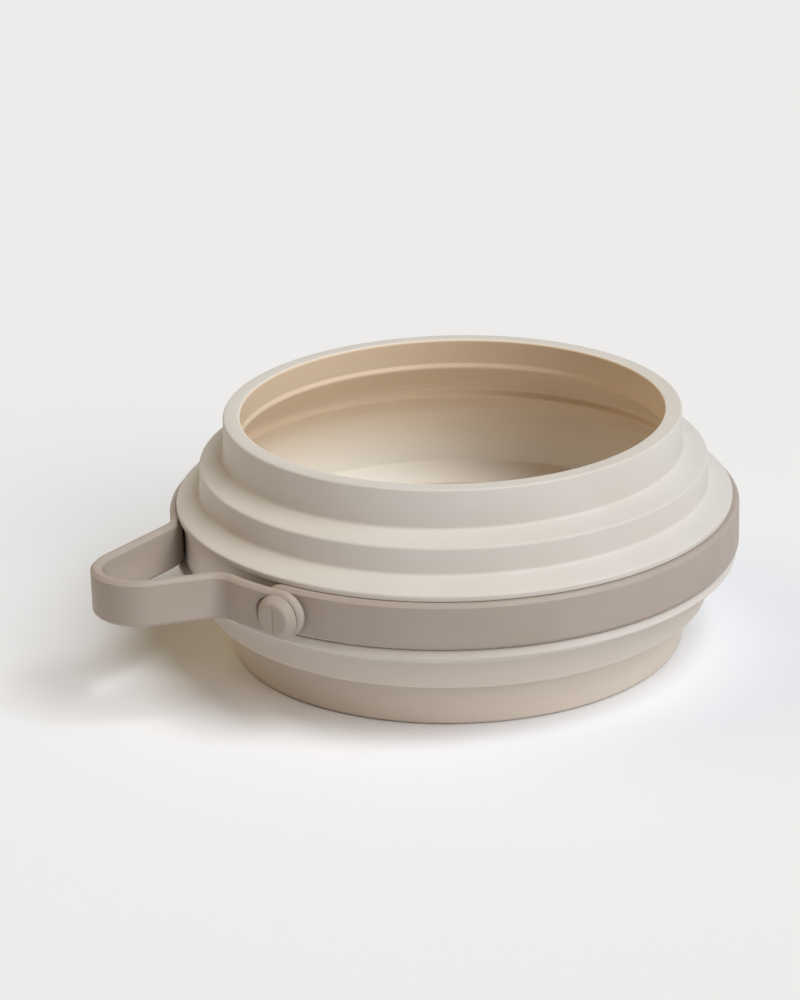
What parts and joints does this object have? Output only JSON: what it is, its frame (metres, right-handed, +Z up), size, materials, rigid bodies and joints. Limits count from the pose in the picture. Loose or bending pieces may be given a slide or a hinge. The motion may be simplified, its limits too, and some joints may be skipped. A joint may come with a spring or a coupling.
{
  "type": "collapsible bowl",
  "caption": "Round collapsible silicone bowl with stepped folding walls and a groove holding a flat strap, whose tail forms a carry loop buttoned on a stud.",
  "frame": {"origin": "centre of the foot's flat underside, on the bowl's axis", "axes": "+Z up along the bowl's axis, -Y towards the picture's viewer, +X to the viewer's right; the carry loop points to -X -Y"},
  "size_m": [0.1672, 0.15, 0.0632],
  "materials": {
    "bowl_silicone": "matt cream silicone, moulded in one piece",
    "strap_silicone": "matt taupe silicone"
  },
  "bodies": {
    "base": {"base_cup": "bowl_silicone", "base_fold": "bowl_silicone"},
    "lower_step": {"lower_step_ring": "bowl_silicone"},
    "equator": {"equator_ring": "bowl_silicone", "lower_fold": "bowl_silicone", "upper_fold": "bowl_silicone"},
    "upper_step": {"upper_step_ring": "bowl_silicone", "rim_fold": "bowl_silicone"},
    "rim": {"rim_ring": "bowl_silicone"},
    "strap": {"strap_band": "strap_silicone", "fastening_stud": "strap_silicone", "strap_root": "strap_silicone"},
    "tail": {"strap_loop": "strap_silicone", "strap_tip": "strap_silicone"}
  },
  "joints": [
    {"name": "base_collapse", "type": "slide", "parent": "base", "child": "lower_step", "axis": [0, 0, -1], "range_m": [0, 0.01], "deforming": ["base_fold"]},
    {"name": "lower_collapse", "type": "slide", "parent": "lower_step", "child": "equator", "axis": [0, 0, -1], "range_m": [0, 0.009], "deforming": ["lower_fold"]},
    {"name": "upper_collapse", "type": "slide", "parent": "equator", "child": "upper_step", "axis": [0, 0, -1], "range_m": [0, 0.009], "deforming": ["upper_fold"]},
    {"name": "rim_collapse", "type": "slide", "parent": "upper_step", "child": "rim", "axis": [0, 0, -1], "range_m": [0, 0.01], "deforming": ["rim_fold"]},
    {"name": "strap_swivel", "type": "hinge", "parent": "equator", "child": "strap", "pos_m": [0, 0, 0.0327], "axis": [0, 0, 1], "continuous": true},
    {"name": "tail_swing", "type": "hinge", "parent": "strap", "child": "tail", "pos_m": [-0.07293, -0.014, 0.0327], "axis": [0, 0, -1], "range_deg": [0, 60], "deforming": ["strap_root", "strap_tip"]}
  ]
}
